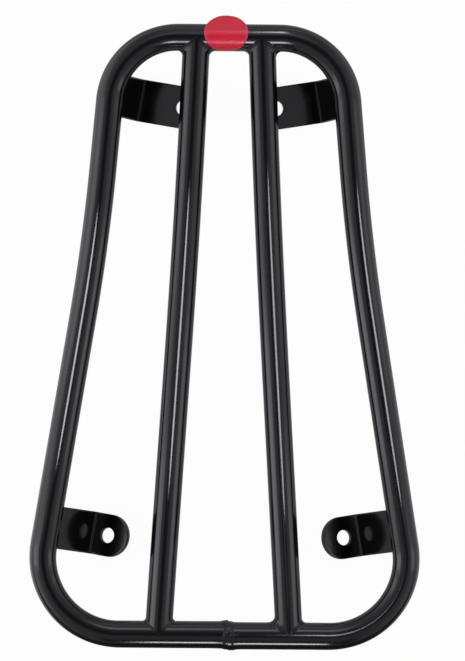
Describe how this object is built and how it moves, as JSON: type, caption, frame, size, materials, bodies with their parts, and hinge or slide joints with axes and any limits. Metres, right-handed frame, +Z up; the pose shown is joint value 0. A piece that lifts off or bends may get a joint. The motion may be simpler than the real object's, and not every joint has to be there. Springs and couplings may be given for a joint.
{
  "type": "motorcycle luggage rack",
  "caption": "Flat tubular steel luggage rack: tapered round-cornered hoop, inner rails and bent mounting tabs with bolt holes, to carry luggage behind the rider.",
  "frame": {"origin": "on the ground plane under the middle of the rack, midway between its front and rear ends", "axes": "+Y towards the narrow front rail, +X to the right, +Z up; the tabs' folds stand on Z = 0"},
  "size_m": [0.229, 0.3722, 0.0419],
  "materials": {
    "black_paint": "gloss",
    "red_foil": "gloss"
  },
  "bodies": {
    "root": {"hoop": "black_paint", "hoop_weld": "black_paint", "inner_tube_left": "black_paint", "inner_tube_right": "black_paint", "joint_weld_rear_left": "black_paint", "joint_weld_rear_right": "black_paint", "joint_weld_front_left": "black_paint", "joint_weld_front_right": "black_paint", "tab_rear_left": "black_paint", "tab_rear_right": "black_paint", "tab_front_left": "black_paint", "tab_front_right": "black_paint", "tab_weld_rear_left": "black_paint", "tab_weld_rear_right": "black_paint", "tab_weld_front_left": "black_paint", "tab_weld_front_right": "black_paint", "badge": "red_foil"}
  },
  "joints": []
}
